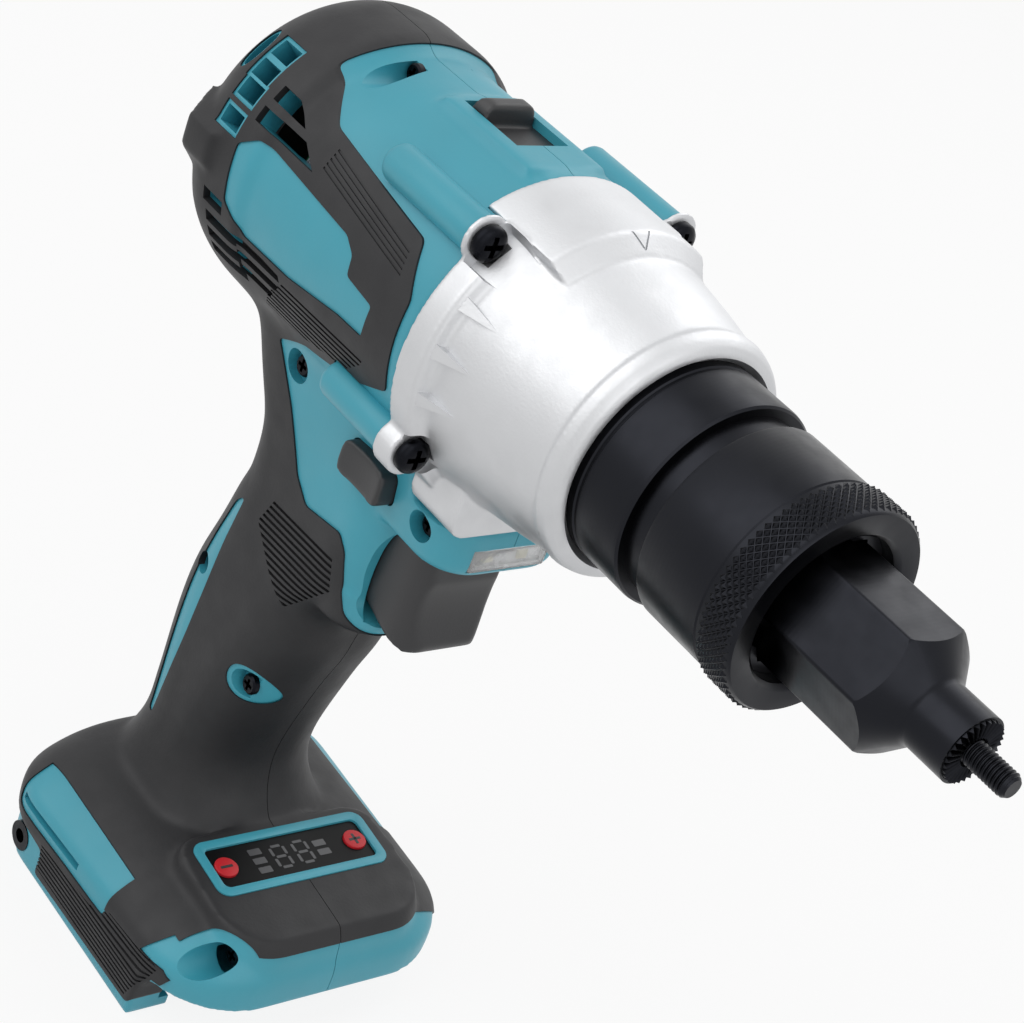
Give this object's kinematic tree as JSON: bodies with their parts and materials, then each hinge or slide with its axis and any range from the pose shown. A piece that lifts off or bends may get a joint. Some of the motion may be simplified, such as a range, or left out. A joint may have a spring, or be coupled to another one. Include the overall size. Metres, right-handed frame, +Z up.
{
  "type": "cordless rivet nut setter",
  "caption": "Pistol-grip cordless rivet nut setter with a threaded mandrel, hex nosepiece, knurled release sleeve, cast gear case and a slide foot for a battery.",
  "frame": {"origin": "middle of the tool's length and width, on the plane its rail feet stand on", "axes": "+X out of the nose along the mandrel, +Z up, -Y the tool's right side"},
  "size_m": [0.2114, 0.079, 0.2038],
  "materials": {
    "black_steel": "black oxide, satin",
    "bright_steel": "ground",
    "spring_steel": "bright drawn wire",
    "cast_aluminium": "satin die cast",
    "teal_plastic": "fine spark texture",
    "dark_rubber": "soft touch, matt",
    "black_plastic": "matt",
    "dark_plastic": "fine texture",
    "gloss_black": "gloss",
    "red_plastic": "satin",
    "clear_plastic": "clear moulded lens",
    "circuit_board": "solder mask",
    "copper": "enamelled wire",
    "lamination": "stacked sheet",
    "contact_brass": "plated"
  },
  "bodies": {
    "tool": {"nosepiece": "black_steel", "sleeve_spring": "spring_steel", "nose_collar": "black_steel", "nose_barrel": "bright_steel", "nut_bearing": "bright_steel", "thrust_bearing": "bright_steel", "gear_case": "cast_aluminium", "gear_case_screws": "black_steel", "ring_gear": "bright_steel", "motor_plate": "cast_aluminium", "front_bearing": "bright_steel", "rear_bearing": "bright_steel", "stator": "lamination", "windings": "copper", "sensor_board": "circuit_board", "housing_right": "teal_plastic", "housing_left": "teal_plastic", "overmould_right": "dark_rubber", "overmould_left": "dark_rubber", "housing_screws": "black_steel", "trigger_switch": "black_plastic", "lamp_lens": "clear_plastic", "lamp_board": "circuit_board", "display_bezel": "teal_plastic", "display_window": "gloss_black", "display_board": "circuit_board", "controller_board": "circuit_board", "terminal_block": "black_plastic", "terminals": "contact_brass", "hook_inserts": "bright_steel"},
    "rotor": {"motor_shaft": "bright_steel", "rotor": "lamination", "sun_gear": "bright_steel", "fan": "black_plastic"},
    "carrier": {"planet_carrier": "bright_steel", "screw_nut": "bright_steel"},
    "planet_1": {"planet_gear_1": "bright_steel"},
    "planet_2": {"planet_gear_2": "bright_steel"},
    "planet_3": {"planet_gear_3": "bright_steel"},
    "puller": {"puller": "bright_steel", "mandrel_cap": "bright_steel", "pull_screw": "bright_steel"},
    "mandrel": {"mandrel": "black_steel"},
    "sleeve": {"release_sleeve": "black_steel", "lock_ring": "bright_steel"},
    "trigger": {"trigger": "dark_plastic"},
    "lever": {"direction_lever": "dark_plastic"},
    "slider": {"speed_slider": "dark_plastic"},
    "minus": {"minus_button": "red_plastic"},
    "plus": {"plus_button": "red_plastic"}
  },
  "joints": [
    {"name": "rotor_spin", "type": "hinge", "parent": "tool", "child": "rotor", "pos_m": [-0.02915, 0, 0.169], "axis": [1, 0, 0], "continuous": true},
    {"name": "carrier_spin", "type": "hinge", "parent": "tool", "child": "carrier", "pos_m": [-0.02915, 0, 0.169], "axis": [1, 0, 0], "continuous": true},
    {"name": "planet_1_spin", "type": "hinge", "parent": "carrier", "child": "planet_1", "pos_m": [-0.02915, 0.012, 0.169], "axis": [1, 0, 0], "continuous": true},
    {"name": "planet_2_spin", "type": "hinge", "parent": "carrier", "child": "planet_2", "pos_m": [-0.02915, -0.006, 0.17939], "axis": [1, 0, 0], "continuous": true},
    {"name": "planet_3_spin", "type": "hinge", "parent": "carrier", "child": "planet_3", "pos_m": [-0.02915, -0.006, 0.15861], "axis": [1, 0, 0], "continuous": true},
    {"name": "pull_stroke", "type": "slide", "parent": "tool", "child": "puller", "axis": [-1, 0, 0], "range_m": [0, 0.007]},
    {"name": "mandrel_spin", "type": "hinge", "parent": "puller", "child": "mandrel", "pos_m": [-0.02915, 0, 0.169], "axis": [1, 0, 0], "continuous": true},
    {"name": "sleeve_release", "type": "slide", "parent": "tool", "child": "sleeve", "axis": [-1, 0, 0], "range_m": [0, 0.004], "stiffness_N_per_m": 1500, "springref_m": -0.006, "deforming": ["sleeve_spring"]},
    {"name": "trigger_pull", "type": "slide", "parent": "tool", "child": "trigger", "axis": [-1, 0, 0], "range_m": [0, 0.007], "stiffness_N_per_m": 700, "springref_m": -0.004},
    {"name": "direction_shift", "type": "slide", "parent": "tool", "child": "lever", "axis": [0, 1, 0], "range_m": [-0.003, 0.003]},
    {"name": "speed_shift", "type": "slide", "parent": "tool", "child": "slider", "axis": [1, 0, 0], "range_m": [0, 0.007]},
    {"name": "minus_press", "type": "slide", "parent": "tool", "child": "minus", "axis": [-0.0872, 0, -0.9962], "range_m": [0, 0.0005], "stiffness_N_per_m": 2500, "springref_m": -0.0004},
    {"name": "plus_press", "type": "slide", "parent": "tool", "child": "plus", "axis": [-0.0872, 0, -0.9962], "range_m": [0, 0.0005], "stiffness_N_per_m": 2500, "springref_m": -0.0004}
  ],
  "couplings": [
    {"joint": "carrier_spin", "follows": "rotor_spin", "ratio": 0.2},
    {"joint": "planet_1_spin", "follows": "rotor_spin", "ratio": -0.53333},
    {"joint": "planet_2_spin", "follows": "rotor_spin", "ratio": -0.53333},
    {"joint": "planet_3_spin", "follows": "rotor_spin", "ratio": -0.53333},
    {"joint": "mandrel_spin", "follows": "rotor_spin", "ratio": 0.2}
  ]
}
